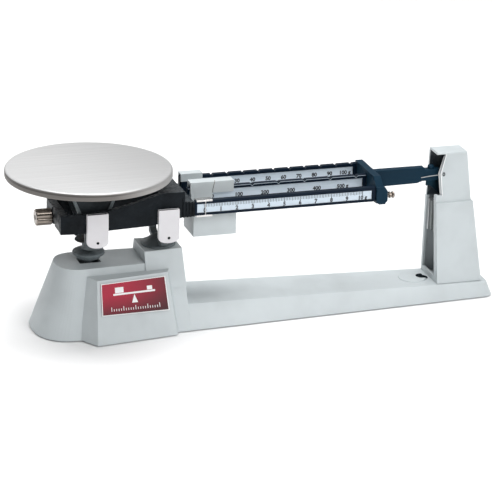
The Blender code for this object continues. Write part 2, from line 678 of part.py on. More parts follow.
# ---- poises --------------------------------------------------------------------------
def make_front_rider():
    """Thin band round the front beam, open in front but for its index wire."""
    face, low = BEAMS["front"]
    skin = 0.8
    x = (-61.6, -46.6)
    y = (face - 1.0 - GAP - skin, face - 1.0 + BEAM_DEPTH + GAP + skin)
    z = (low - GAP - skin, low + BEAM_H + GAP + skin)
    rider = box("front_rider", x, y, z, NICKEL)
    cut(rider, box("rider_tunnel", (x[0] - 2, x[1] + 2), (y[0] + skin, y[1] - skin),
                   (z[0] + skin, z[1] - skin), None, cutters))
    for label, near, far in (("left", x[0] - 2, FRONT_ZERO - 0.3),
                             ("right", FRONT_ZERO + 0.3, x[1] + 2)):
        cut(rider, box("rider_window_" + label, (near, far), (y[0] - 2, y[0] + skin + 0.1),
                       (z[0] + 1.7, z[1] - 1.7), None, cutters))
    return rider


def make_middle_poise():
    face, low = BEAMS["middle"]
    x = (-60.5, -19.1)
    top = low + BEAM_H
    saddle = box("middle_poise_saddle", x, (-4.6, 6.4), (120.3, 131.1), GREY)
    cut(saddle, box("saddle_slot", (x[0] - 2, x[1] + 2), (face - 1.8, face + BEAM_DEPTH - 0.2),
                    (110, top + 3.2), None, cutters))
    strap = x[0] + 21.1
    for label, far, y in (("front", strap, (-4.5, -3.2)), ("back", x[1] - 0.6, (5.0, 6.3))):
        join(saddle, box("strap_" + label, (x[0] + 0.6, far), y, (106.9, 122.5), None, cutters))
    block = box("middle_poise_weight", (x[0] + 0.2, x[1]), (-14.5, 17.4), (82.2, 106.5), GREY,
                parts, 0.6)
    pin = rod("middle_poise_pin", (MID_PIN, face + BEAM_DEPTH / 2 - 1.0, top + 1.35), 0.9, 5.8,
              'Y', STEEL, parts, 16)
    return saddle, block, pin


def make_rear_poise():
    face, low = BEAMS["rear"]
    x = (-61.7, -40.9)
    top = low + BEAM_H
    y = (23.4, 32.8)
    saddle = box("rear_poise_saddle", x, y, (123.4, 130.8), GREY)
    cut(saddle, box("rear_saddle_slot", (x[0] - 2, x[1] + 2),
                    (face - 1.8, face + BEAM_DEPTH - 0.2), (110, top + 2.3), None, cutters))
    for label, near, far in (("front", y[0] + 0.1, y[0] + 1.3), ("back", y[1] - 1.3, y[1] - 0.1)):
        join(saddle, box("rear_strap_" + label, (x[0] + 0.6, x[1] - 0.6), (near, far), (111.9, 125),
                         None, cutters))
    block = box("rear_poise_weight", x, (20.9, 35.4), (99.0, 111.5), GREY, parts, 0.6)
    pin = rod("rear_poise_pin", (REAR_PIN, face + BEAM_DEPTH / 2 - 1.0, top + 1.25), 0.8, 5.8,
              'Y', STEEL, parts, 16)
    return saddle, block, pin


# ---- pan support and plate -----------------------------------------------------------
def make_pan_support():
    """Twin side plates under the pan, joined by a table on top and a column below."""
    inner, outer = POST_Y - POST_HALF, POST_Y + POST_HALF
    x = LOAD_X
    top = PLATE_TOP - RIM_H + 0.2
    outline = [(x - 27, top), (x - 8.5, 99.5), (x - 8.5, 81.5), (x - 3.2, 80.0), (x + 3.2, 80.0),
               (x + 8.5, 81.5), (x + 8.5, 99.5), (x + 27, top)]
    support = sheet("pan_support", outline, 'XZ', -outer, -inner, DARK_GREY)
    join(support, sheet("support_back", outline, 'XZ', inner, outer, None, cutters))
    join(support, box("support_table", (x - 24, x + 24), (-19, 19), (top - 3.0, top - 0.4), None,
                      cutters))
    join(support, turned("support_boss", (x, 0, top), [
        (0.0, 2.4), (19.6, 2.4), (20.4, 1.8), (20.4, -1.6), (0.0, -1.6)], None, cutters, 36))
    cross = box("support_cross", (x - 6, x + 6), (-20.8, 20.8), (80.9, 84.4), None, cutters)
    stem = turned("support_stem", (x, 0, 0), [
        (0.0, 84.2), (12.6, 84.2), (12.9, 83.6), (10.4, 82.8), (7.6, 81.6), (6.2, 79.6),
        (5.8, 77.0), (6.6, 75.2), (6.6, 74.6), (3.2, 74.4), (3.2, 35.0), (0.0, 35.0)],
        None, cutters, 28)
    # shallow panels sunk in the outer faces leave a raised border
    for side in (-1, 1):
        y = sorted((side * (outer - 1.5), side * (outer + 2)))
        cut(support, sheet("support_panel", [
            (x - 23.0, top - 3.4), (x - 7.4, 106.0), (x + 7.4, 106.0), (x + 23.0, top - 3.4)],
            'XZ', *y, None, cutters))
    clevis = box("stem_clevis", (x - 4, x + 4), (-5.6, 5.6), (26.4, 41), None, cutters)
    join(support, cross, stem, clevis)
    cut(support, box("bearing_window", (x - 5.5, x + 5.5), (-30, 30), (84.8, 96.6), None, cutters))
    cut(support, box("clevis_slot", (x - 6, x + 6), (-2.7, 2.7), (20, 38), None, cutters))
    cut(support, rod("clevis_bore", (x, 0, LINK_Z), 1.5 + GAP, 20, 'Y', None, cutters, 16))
    made = [support]
    for side, label in ((-1, "front"), (1, "back")):
        near, far = sorted((side * inner, side * outer))
        z = KNIFE_Z
        made.append(sheet("load_bearing_" + label, [
            (x - 4, 96.6 - GAP), (x - 4, z - 1.2), (x - 3.2, z - 1.2), (x, z + GAP + 0.1),
            (x + 3.2, z - 1.2), (x + 4, z - 1.2), (x + 4, 96.6 - GAP)], 'XZ', near, far, AGATE))
    bell = turned("dust_bell", (x, 0, 0), [
        (3.2 + GAP, 74.0), (8.4, 73.9), (12.6, 73.4), (14.6, 72.4), (15.0, 71.0), (14.2, 69.6),
        (12.6, 68.8), (11.4, 68.3), (10.8, 66.4), (9.4, 66.2), (8.8, 68.6), (3.2 + GAP, 69.4),
        (3.2 + GAP, 74.0)], DARK_GREY, parts, 32)
    pin = rod("check_rod_pin_stem", (x, 0, LINK_Z), 1.5, 14.0, 'Y', STEEL, parts, 16)
    made += [bell, pin]
    return made


def make_plate():
    under = PLATE_TOP - RIM_H
    plate = turned("weighing_plate", (LOAD_X, 0, 0), [
        (0.0, PLATE_TOP), (74.2, PLATE_TOP), (75.4, PLATE_TOP - 0.35), (76.0, PLATE_TOP - 1.1),
        (PLATE_R, PLATE_TOP - 2.0), (PLATE_R, under + 0.7), (75.8, under), (75.3, under),
        (75.0, under + 0.6), (75.0, PLATE_TOP - 2.2), (74.2, PLATE_TOP - 1.2),
        (0.0, PLATE_TOP - 1.2)], STEEL, parts, 96)
    ring = turned("plate_locating_ring", (LOAD_X, 0, 0), [
        (20.4 + 0.6, PLATE_TOP - 1.2 - GAP), (23.4, PLATE_TOP - 1.2 - GAP), (23.4, under + 0.6),
        (22.8, under + 0.6), (22.4, under + 0.6), (20.4 + 0.6, under + 0.6),
        (20.4 + 0.6, PLATE_TOP - 1.2 - GAP)], STEEL, parts, 48)
    return plate, ring


def make_check_rod():
    """Rod in the hollow base that keeps the stem upright, with its bracket and pins."""
    half = 2.0
    x0, x1 = LOAD_X, FULCRUM_X
    outline = (arc(x0, LINK_Z, 3.8, 60, 300, 10) + arc(x1, LINK_Z, 3.8, -120, 120, 10))
    link = sheet("check_rod", outline, 'XZ', -half, half, STEEL)
    cut(link, rod("link_bore_stem", (x0, 0, LINK_Z), 1.5 + TILT_FIT, 20, 'Y', None, cutters, 16))
    cut(link, rod("link_bore_base", (x1, 0, LINK_Z), 1.5 + GAP, 20, 'Y', None, cutters, 16))
    bracket = sheet("check_rod_bracket", [
        (-7.4, 27.0), (-5.2, 27.0), (-5.2, 57.4), (5.2, 57.4), (5.2, 27.0), (7.4, 27.0),
        (7.4, 59.8), (-7.4, 59.8)], 'YZ', x1 - 5, x1 + 5, DARK_GREY)
    cut(bracket, rod("bracket_bore", (x1, 0, LINK_Z), 1.5 + GAP, 30, 'Y', None, cutters, 16))
    cut(bracket, rod("bracket_screw_hole", (x1, 0, 58), 2.4, 10, 'Z', None, cutters, 16))
    rod("check_rod_pin_base", (x1, 0, LINK_Z), 1.5, 18.0, 'Y', STEEL, parts, 16)
    return link


# ---- assembly ------------------------------------------------------------------------
make_base()
make_base_fittings()
make_pillar()
make_index_plate()
make_damper()
make_stand()

beam_pivot = pivot("beam_pivot", (FULCRUM_X, 0, KNIFE_Z))
hang(beam_pivot, make_casting(), *make_knives(), *make_covers(), make_yoke(), *make_arm())
for beam_label in BEAMS:
    hang(beam_pivot, *make_beam(beam_label))

zero_rod, zero_knob = make_zero_adjuster()
hang(beam_pivot, zero_rod)
knob_pivot = pivot("knob_pivot", (KNOB_L, 0, KNOB_Z), beam_pivot)
hang(knob_pivot, zero_knob)

rider_pivot = pivot("front_rider_start", (FRONT_ZERO, BEAMS["front"][0], 114.4), beam_pivot)
hang(rider_pivot, make_front_rider())
middle_pivot = pivot("middle_poise_start", (MID_PIN, 1.1, 125.1), beam_pivot)
hang(middle_pivot, *make_middle_poise())
rear_pivot = pivot("rear_poise_start", (REAR_PIN, 28.1, 127.8), beam_pivot)
hang(rear_pivot, *make_rear_poise())

pan_pivot = pivot("pan_pivot", (LOAD_X, 0, KNIFE_Z), beam_pivot)
hang(pan_pivot, *make_pan_support())
plate_pivot = pivot("plate_seat", (LOAD_X, 0, PLATE_TOP), pan_pivot)
hang(plate_pivot, *make_plate())

link_pivot = pivot("check_rod_pivot", (FULCRUM_X, 0, LINK_Z))
hang(link_pivot, make_check_rod())

# the origin goes under the middle of the whole length
for item in parts.objects:
    if item.parent is None:
        item.location.x += CENTRING * MM
for item in cutters.objects:
    if item.parent is None:
        item.location.x += CENTRING * MM
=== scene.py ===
"""Triple beam balance: the finished look, built round the model of its parts.

Every length is in metres unless a name or a description says otherwise.
"""

import json
import math

import bmesh
import bpy
from bpy.props import FloatProperty, FloatVectorProperty, PointerProperty
from mathutils import Matrix, Vector
from mathutils.bvhtree import BVHTree

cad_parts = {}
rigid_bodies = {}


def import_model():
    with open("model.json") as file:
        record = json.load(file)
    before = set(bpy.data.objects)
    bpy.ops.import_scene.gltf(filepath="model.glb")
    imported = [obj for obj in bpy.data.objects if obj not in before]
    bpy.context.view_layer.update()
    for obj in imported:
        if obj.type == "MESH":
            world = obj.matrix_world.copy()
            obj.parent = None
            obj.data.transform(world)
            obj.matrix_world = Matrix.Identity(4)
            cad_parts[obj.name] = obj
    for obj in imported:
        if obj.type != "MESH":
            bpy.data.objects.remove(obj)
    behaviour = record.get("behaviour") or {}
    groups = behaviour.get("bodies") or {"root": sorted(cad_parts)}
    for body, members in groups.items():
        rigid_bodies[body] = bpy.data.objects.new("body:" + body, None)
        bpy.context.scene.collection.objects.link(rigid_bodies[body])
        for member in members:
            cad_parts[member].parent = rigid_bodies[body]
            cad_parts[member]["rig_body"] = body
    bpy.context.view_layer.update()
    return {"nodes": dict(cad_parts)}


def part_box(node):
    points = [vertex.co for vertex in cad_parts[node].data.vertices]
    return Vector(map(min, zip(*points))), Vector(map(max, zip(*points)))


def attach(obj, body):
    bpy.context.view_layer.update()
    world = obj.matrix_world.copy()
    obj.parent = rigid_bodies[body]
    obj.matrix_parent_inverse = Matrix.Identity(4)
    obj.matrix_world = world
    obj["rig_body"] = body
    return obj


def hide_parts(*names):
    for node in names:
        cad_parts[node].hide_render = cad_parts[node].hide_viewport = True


bl_info = {
    "name": "Triple Beam Balance",
    "version": (1, 0, 0),
    "blender": (4, 5, 0),
    "location": "View3D > Sidebar > Balance",
    "description": "Builds a school triple beam balance piece by piece",
    "category": "Object",
}

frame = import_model()

MM = 0.001
SHARP = math.radians(32)       # edges steeper than this are rounded and stay crisp
WELD = 0.03 * MM               # corners closer than this are one corner
FLAT = math.radians(0.6)       # faces that meet flatter than this are one face
CAP_HEIGHT = 0.7               # height of a digit as a share of the font's size


# ---- small helpers -------------------------------------------------------------------
def settings():
    return bpy.context.scene.balance_settings


def link_object(name, mesh):
    obj = bpy.data.objects.new(name, mesh)
    bpy.context.scene.collection.objects.link(obj)
    return obj


def mesh_object(name, bm):
    """A mesh object from a bmesh, smooth apart from its sharp edges."""
    mesh = bpy.data.meshes.new(name)
    bm.to_mesh(mesh)
    bm.free()
    mesh.shade_smooth()
    mesh.set_sharp_from_angle(angle=SHARP)
    return link_object(name, mesh)


def freeze(obj):
    """Turn an object's modifiers into plain mesh."""
    graph = bpy.context.evaluated_depsgraph_get()
    mesh = bpy.data.meshes.new_from_object(obj.evaluated_get(graph))
    obj.modifiers.clear()
    obj.data = mesh
    mesh.name = obj.name
    return obj


def curve_mesh(curve):
    """The plain mesh of a curve or a text."""
    holder = link_object(curve.name, curve)
    graph = bpy.context.evaluated_depsgraph_get()
    mesh = bpy.data.meshes.new_from_object(holder.evaluated_get(graph))
    bpy.data.objects.remove(holder, do_unlink=True)
    return mesh


def bevel(obj, radius, segments=3):
    modifier = obj.modifiers.new("edges", 'BEVEL')
    modifier.width = radius
    modifier.segments = segments
    modifier.limit_method = 'ANGLE'
    modifier.angle_limit = SHARP
    modifier.harden_normals = True
    modifier.use_clamp_overlap = True
    return freeze(obj)


def merged_copy(node):
    """A welded bmesh copy of one node of the model."""
    bm = bmesh.new()
    bm.from_mesh(frame["nodes"][node].data)
    bmesh.ops.remove_doubles(bm, verts=bm.verts, dist=WELD)
    bmesh.ops.dissolve_limit(bm, angle_limit=FLAT, verts=bm.verts, edges=bm.edges)
    return bm


def softened(node, radius_mm, segments=3):
    """A copy of a node with its sharp edges rounded, as a cast or pressed piece has them."""
    obj = mesh_object(node + "_finished", merged_copy(node))
    if radius_mm:
        bevel(obj, radius_mm * MM, segments)
    return obj


def settle(obj, node, finish):
    """Give a piece its finish, and let it ride on and stand for a node."""
    obj.data.materials.clear()
    obj.data.materials.append(finish)
    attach(obj, frame["nodes"][node]["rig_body"])
    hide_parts(node)
    return obj


def trim(obj, body, finish):
    """A small piece that stands for no node and rides on a body."""
    obj.data.materials.clear()
    obj.data.materials.append(finish)
    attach(obj, body)
    return obj


def swept(name, rows):
    """A closed strip skinned over rows of points that run side by side along it."""
    bm = bmesh.new()
    rows = [[bm.verts.new(point) for point in row] for row in rows]
    for here, there in zip(rows, rows[1:] + rows[:1]):
        for i in range(len(here) - 1):
            bm.faces.new((here[i], here[i + 1], there[i + 1], there[i]))
    bm.faces.new([row[0] for row in rows])
    bm.faces.new([row[-1] for row in rows])
    bmesh.ops.recalc_face_normals(bm, faces=bm.faces)
    return mesh_object(name, bm)


def paint_where(obj, finish, test):
    """Give the faces that pass a test a finish of their own."""
    obj.data.materials.append(finish)
    slot = len(obj.data.materials) - 1
    for face in obj.data.polygons:
        if test(face):
            face.material_index = slot
    return obj


def looks_inside(obj, reach):
    """A test for faces that look straight at another face of the same piece."""
    tree = BVHTree.FromObject(obj, bpy.context.evaluated_depsgraph_get())

    def test(face):
        start = face.center + face.normal * 0.05 * MM
        return tree.ray_cast(start, face.normal, reach)[0] is not None
    return test


def faces_axis(x, y, reach):
    """A test for the inner faces of a hollow round an upright axis, within a reach of it."""
    def test(face):
        across = Vector((x - face.center.x, y - face.center.y, 0.0))
        return across.length < reach and face.normal.dot(across) > 0.3 * across.length
    return test


def finish_nodes(table):
    """Soften each node of a table {node: (finish, edge radius in mm)}."""
    for node, (finish, radius_mm) in table.items():
        settle(softened(node, radius_mm), node, finish)


# ---- finishes ------------------------------------------------------------------------
def put(tree, kind, inputs=None, **props):
    """Add a node; inputs are values or sockets to link."""
    made = tree.nodes.new(kind)
    for key, value in props.items():
        setattr(made, key, value)
    for key, value in (inputs or {}).items():
        if isinstance(value, bpy.types.NodeSocket):
            tree.links.new(value, made.inputs[key])
        else:
            made.inputs[key].default_value = value
    return made


class Finish:
    """A procedural material on object coordinates, built up layer by layer."""

    def __init__(self, name, colour, roughness, metallic=0.0, **sockets):
        self.material = bpy.data.materials.new(name)
        self.material.use_nodes = True
        self.tree = self.material.node_tree
        self.shader = self.tree.nodes["Principled BSDF"]
        self.colour = (*colour, 1.0)
        self.shader.inputs["Base Color"].default_value = self.colour
        self.shader.inputs["Roughness"].default_value = roughness
        self.shader.inputs["Metallic"].default_value = metallic
        for key, value in sockets.items():
            self.shader.inputs[key.replace("_", " ")].default_value = value
        self.rough = roughness
        self.coord = put(self.tree, 'ShaderNodeTexCoord').outputs["Object"]
        self.tint = None
        self.normal = None

    def noise(self, scale, detail=3.0, stretch=(1, 1, 1), roughness=0.55):
        place = self.coord
        if stretch != (1, 1, 1):
            place = put(self.tree, 'ShaderNodeMapping',
                        {"Vector": place, "Scale": stretch}).outputs["Vector"]
        return put(self.tree, 'ShaderNodeTexNoise', {
            "Vector": place, "Scale": scale, "Detail": detail,
            "Roughness": roughness}).outputs["Fac"]

    def spread(self, value, low, high, out_low=0.0, out_high=1.0):
        return put(self.tree, 'ShaderNodeMapRange', {
            "Value": value, "From Min": low, "From Max": high,
            "To Min": out_low, "To Max": out_high}).outputs["Result"]

    def paint(self, other, mask):
        """Blend another colour in where the mask is high."""
        mix = put(self.tree, 'ShaderNodeMix', {0: mask, 7: (*other, 1.0)}, data_type='RGBA')
        if self.tint is None:
            mix.inputs[6].default_value = self.colour
        else:
            self.tree.links.new(self.tint, mix.inputs[6])
        self.tint = mix.outputs[2]
        self.tree.links.new(self.tint, self.shader.inputs["Base Color"])
        return self

    def gloss(self, value, low, high, change):
        """Let the roughness wander by change either way."""
        self.tree.links.new(self.spread(value, low, high, self.rough - change,
                                        self.rough + change), self.shader.inputs["Roughness"])
        return self

    def bump(self, height, distance_mm, strength=1.0):
        inputs = {"Height": height, "Distance": distance_mm * MM, "Strength": strength}
        if self.normal:
            inputs["Normal"] = self.normal
        self.normal = put(self.tree, 'ShaderNodeBump', inputs).outputs["Normal"]
        self.tree.links.new(self.normal, self.shader.inputs["Normal"])
        return self


def enamel(name, colour, roughness, peel=0.05, dust=0.10, coat=0.2, shine=0.5):
    """Stoved enamel over a casting: slight orange peel, soft waviness, a few specks."""
    made = Finish(name, colour, roughness, 0.0, Coat_Weight=coat, Coat_Roughness=0.22,
                  Specular_IOR_Level=shine)
    wave, orange = made.noise(38, 2), made.noise(420, 3)
    dark = tuple(c * 0.86 for c in colour)
    light = tuple(min(1.0, c * 1.06) for c in colour)
    made.paint(dark, made.spread(wave, 0.42, 0.72, 0.0, 0.55))
    made.paint(light, made.spread(made.noise(11, 4), 0.5, 0.75, 0.0, 0.7))
    made.paint(tuple(c * 0.55 for c in colour), made.spread(made.noise(900, 1), 0.76, 0.8, 0, dust))
    made.gloss(made.noise(60, 4), 0.35, 0.65, 0.06)
    return made.bump(wave, 0.35).bump(orange, peel)


def pebbled(name, colour, roughness, grain=0.2, light=(0.016, 0.021, 0.026)):
    """Black paint over a coarse die casting skin."""
    made = Finish(name, colour, roughness, 0.0, Specular_IOR_Level=0.13)
    cells = put(made.tree, 'ShaderNodeTexVoronoi', {
        "Vector": made.coord, "Scale": 620.0, "Smoothness": 0.7},
        feature='SMOOTH_F1').outputs["Distance"]
    made.paint(light, made.spread(made.noise(260, 4), 0.5, 0.74, 0.0, 0.32))
    made.paint(tuple(c * 0.4 for c in colour), made.spread(made.noise(45, 3), 0.45, 0.7, 0, 0.8))
    made.gloss(made.noise(90, 4), 0.35, 0.65, 0.12)
    return made.bump(made.noise(55, 3), 0.3).bump(cells, -grain).bump(made.noise(1300, 2), 0.04)


def brushed(name, colour, roughness, metallic, stretch, depth=0.012, tint=0.82):
    """Metal with fine parallel brush lines, short across the stretch."""
    made = Finish(name, colour, roughness, metallic)
    lines = made.noise(1.0, 5, stretch, 0.7)
    coarse = made.noise(1.0, 3, tuple(s * 0.22 for s in stretch), 0.6)
    made.paint(tuple(c * tint for c in colour), made.spread(lines, 0.4, 0.72, 0.0, 0.7))
    made.paint(tuple(min(1.0, c * 1.08) for c in colour), made.spread(coarse, 0.5, 0.75, 0.0, 0.6))
    made.gloss(lines, 0.3, 0.7, min(0.09, roughness * 0.4))
    return made.bump(lines, depth).bump(made.noise(24, 2), 0.15)


def polished(name, colour, roughness, scuff=0.05):
    """Bright plate with faint handling marks."""
    made = Finish(name, colour, roughness, 1.0)
    haze = made.noise(120, 5)
    made.paint(tuple(c * 0.72 for c in colour), made.spread(haze, 0.5, 0.78, 0.0, 0.6))
    made.gloss(made.noise(300, 4, (1, 4, 1)), 0.3, 0.7, scuff)
    return made.bump(made.noise(150, 2), 0.05)


def part_of_coord(made, axis):
    """The X, Y or Z (0, 1 or 2) of a finish's object coordinates."""
    return put(made.tree, 'ShaderNodeSeparateXYZ', {0: made.coord}).outputs[axis]


def product(made, first, second):
    return put(made.tree, 'ShaderNodeMath', {0: first, 1: second},
               operation='MULTIPLY').outputs[0]


def paint_vane(vane):
    """The vane's stem is painted like the arm above it."""
    start, full = 97 * MM, 99 * MM
    vane.paint((0.010, 0.028, 0.042), vane.spread(part_of_coord(vane, 2), start, full))


def paint_plate(plate):
    """The plate's turned rim is painted darker and browner than its face as painted shade and
    reflection, below a top edge kept bright as a painted highlight; a dark line of painted shade
    marks its groove, and painted light brightens the rim towards the right.
    """
    low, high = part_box("weighing_plate")
    height = part_of_coord(plate, 2)
    # painted shade and reflection: a darker, browner rim below a painted highlight along its top
    # edge
    rim = plate.spread(height, high.z - 1.3 * MM, high.z - 0.8 * MM, 1.0, 0.0)
    plate.paint((0.19, 0.178, 0.168), rim)
    # a dark line of painted shade in the rim's groove
    above = plate.spread(height, high.z - 3.4 * MM, high.z - 2.9 * MM)
    below = plate.spread(height, high.z - 2.2 * MM, high.z - 1.9 * MM, 1.0, 0.0)
    plate.paint((0.10, 0.095, 0.09), product(plate, above, below))
    # painted light: the rim turns lighter towards its right side
    centre = (low.x + high.x) / 2
    right = plate.spread(part_of_coord(plate, 0), centre + 5 * MM, centre + 60 * MM, 0.0, 0.75)
    plate.paint((0.62, 0.61, 0.60), product(plate, right, rim))


def paint_casting(casting):
    """Painted light: the casting's left end and its deck are painted lighter than its sides, in
    patches, by the way each face is turned.
    """
    facing = put(casting.tree, 'ShaderNodeSeparateXYZ', {0: put(
        casting.tree, 'ShaderNodeTexCoord').outputs["Normal"]})
    patchy_light = casting.spread(casting.noise(520, 3), 0.38, 0.62)
    # faces turned to -X (the end) and to +Z (the deck) get the painted light, broken up by noise
    for axis, near, far in ((0, -0.6, -0.9), (2, 0.75, 0.95)):
        lit_facing = casting.spread(facing.outputs[axis], near, far)
        casting.paint((0.070, 0.080, 0.087), product(casting, lit_facing, patchy_light))


def hollow_finish():
    """Painted shade inside the pillar: a grey darker than the enamel, light low down by the
    opening, painted darker deeper in and above.
    """
    made = Finish("painted shade inside the pillar", (0.42, 0.455, 0.47), 0.5)
    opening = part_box("pillar_housing")[0].x
    # painted shade: darker deeper in from the opening and higher up in the hollow
    deep = (0.02, 0.032, 0.042)
    made.paint(deep, made.spread(part_of_coord(made, 0), opening + 12 * MM, opening + 20 * MM))
    made.paint(deep, made.spread(part_of_coord(made, 2), 90 * MM, 97 * MM))
    made.paint((0.2, 0.22, 0.23), made.spread(made.noise(90, 4), 0.5, 0.75, 0, 0.6))
    return made.bump(made.noise(420, 3), 0.05)


def make_finishes():
    """All the finishes of the balance, by name."""
    chosen = settings()
    grey, black, navy = (tuple(getattr(chosen, key)) for key in
                         ("enamel_colour", "casting_colour", "beam_colour"))
    made = {
        "grey": enamel("light grey enamel", grey, 0.5, coat=0.06, shine=0.35),
        "black": pebbled("black pebbled casting", black, 0.46),
        "navy": enamel("dark navy enamel", navy, 0.42, 0.03, 0.3, 0.0, 0.1),
        "beam": enamel("blue black enamel", tuple(0.35 * c for c in navy[:2]) + (navy[2] * 0.45,),
                       0.42, 0.03, 0.3, 0.0, 0.12),
        # painted shade for the hole at the pillar's foot and the covers' hollows
        "shade": enamel("painted shade in holes", (0.022, 0.034, 0.042), 0.5, 0.05, 0.3, 0.0, 0.3),
        "dark": pebbled("dark grey casting", (0.03, 0.037, 0.042), 0.45, 0.12),
        "cast grey": pebbled("blue grey casting", (0.15, 0.175, 0.185), 0.42, 0.12,
                             (0.26, 0.29, 0.30)),
        "zinc": brushed("zinc plated steel", (0.42, 0.43, 0.44), 0.42, 0.6, (700, 700, 20)),
        "white": enamel("pale lilac enamel", (0.68, 0.67, 0.69), 0.4, 0.02, 0.05, 0.12),
        "print": enamel("white print", (0.86, 0.86, 0.86), 0.45, 0.01, 0.03, 0.0),
        "steel": brushed("brushed stainless plate", (0.60, 0.60, 0.60), 0.5, 0.75,
                         (9, 1700, 1700)),
        "scale": brushed("anodised scale plate", (0.60, 0.69, 0.77), 0.4, 0.35,
                         (14, 900, 2300), 0.008, 0.9),
        "vane": brushed("aluminium vane", (0.7, 0.71, 0.72), 0.36, 1.0, (900, 900, 12)),
        "ground": brushed("ground tool steel", (0.5, 0.5, 0.51), 0.28, 1.0, (1600, 14, 1600)),
        "nickel": polished("bright nickel plate", (0.64, 0.63, 0.62), 0.17),
        "knob": polished("dull nickel plate", (0.26, 0.225, 0.195), 0.22),
    }
    ink = Finish("scale ink", (0.012, 0.014, 0.018), 0.55)
    ink.paint((0.05, 0.05, 0.055), ink.spread(ink.noise(1500, 3), 0.5, 0.75, 0, 0.6))
    made["ink"] = ink.bump(ink.noise(2500, 2), 0.01)
    rubber = Finish("foot rubber", (0.022, 0.022, 0.023), 0.8)
    rubber.paint((0.07, 0.068, 0.064), rubber.spread(rubber.noise(240, 5), 0.5, 0.75, 0, 0.5))
    made["rubber"] = rubber.bump(rubber.noise(1100, 3), 0.06)
    agate = Finish("banded agate", (0.42, 0.22, 0.13), 0.18, 0.0, Coat_Weight=0.5)
    bands = put(agate.tree, 'ShaderNodeTexWave', {
        "Vector": agate.coord, "Scale": 260.0, "Distortion": 6.0, "Detail": 3.0}).outputs["Fac"]
    agate.paint((0.72, 0.55, 0.43), agate.spread(bands, 0.35, 0.8, 0, 0.75))
    made["agate"] = agate.bump(bands, 0.01)
    ferrite = Finish("pressed ferrite", (0.17, 0.19, 0.19), 0.55, 0.1)
    ferrite.paint((0.26, 0.28, 0.28), ferrite.spread(ferrite.noise(700, 4), 0.5, 0.72, 0, 0.6))
    made["ferrite"] = ferrite.bump(ferrite.noise(900, 3), 0.05)
    paint_vane(made["vane"])
    paint_plate(made["steel"])
    paint_casting(made["black"])
    made["inside"] = hollow_finish()
    return {key: finish.material for key, finish in made.items()}


FINISHES = {}


def finish_of(key):
    if not FINISHES:
        FINISHES.update(make_finishes())
    return FINISHES[key]


# ---- settings ------------------------------------------------------------------------
class BalanceSettings(bpy.types.PropertyGroup):
    """Sizes and colours of the balance"""
    enamel_colour: FloatVectorProperty(
        name="Enamel", description="Colour of the base, pillar and poises", subtype='COLOR',
        default=(0.545, 0.59, 0.605), min=0.0, max=1.0)
    casting_colour: FloatVectorProperty(
        name="Beam casting", description="Colour of the pebbled beam casting", subtype='COLOR',
        default=(0.0045, 0.0075, 0.0105), min=0.0, max=1.0)
    beam_colour: FloatVectorProperty(
        name="Beams", description="Colour of the beams, yoke and pointer arm", subtype='COLOR',
        default=(0.005, 0.025, 0.046), min=0.0, max=1.0)
    casting_edge: FloatProperty(
        name="Casting edge", description="Edge radius of the base and pillar castings",
        default=1.3 * MM, min=0.0, subtype='DISTANCE', unit='LENGTH')
    tick_width: FloatProperty(
        name="Tick width", description="Width of a printed scale division",
        default=0.44 * MM, min=0.05 * MM, subtype='DISTANCE', unit='LENGTH')
    digit_height: FloatProperty(
        name="Number height", description="Height of the printed numbers",
        default=3.6 * MM, min=0.5 * MM, subtype='DISTANCE', unit='LENGTH')
    stroke: FloatProperty(
        name="Stroke", description="How much bolder the numbers are drawn", default=0.23 * MM,
        subtype='DISTANCE', unit='LENGTH')
    print_depth: FloatProperty(
        name="Ink thickness", description="How far print stands off its plate",
        default=0.05 * MM, min=0.005 * MM, subtype='DISTANCE', unit='LENGTH')


class StageSettings(bpy.types.PropertyGroup):
    """Camera, light and floor"""
    camera_distance: FloatProperty(
        name="Camera distance", description="From the camera to its target",
        default=2.433, min=0.5, subtype='DISTANCE', unit='LENGTH')
    camera_turn: FloatProperty(
        name="Turn", description="How far the camera stands round to the left", default=0.313,
        subtype='ANGLE', unit='ROTATION')
    camera_tilt: FloatProperty(
        name="Tilt", description="How far the camera looks down", default=0.348,
        subtype='ANGLE', unit='ROTATION')
    camera_roll: FloatProperty(
        name="Roll", description="Roll of the camera", default=0.025,
        subtype='ANGLE', unit='ROTATION')
    lens: FloatProperty(
        name="Lens", description="Focal length in millimetres", default=189.9, min=20.0)
    target: FloatVectorProperty(
        name="Target", description="Point the camera looks at", subtype='TRANSLATION',
        default=(-0.0061, 0.0, 0.062))
    floor_colour: FloatVectorProperty(
        name="Floor", description="Colour of the floor", subtype='COLOR',
        default=(0.96, 0.96, 0.96), min=0.0, max=1.0)


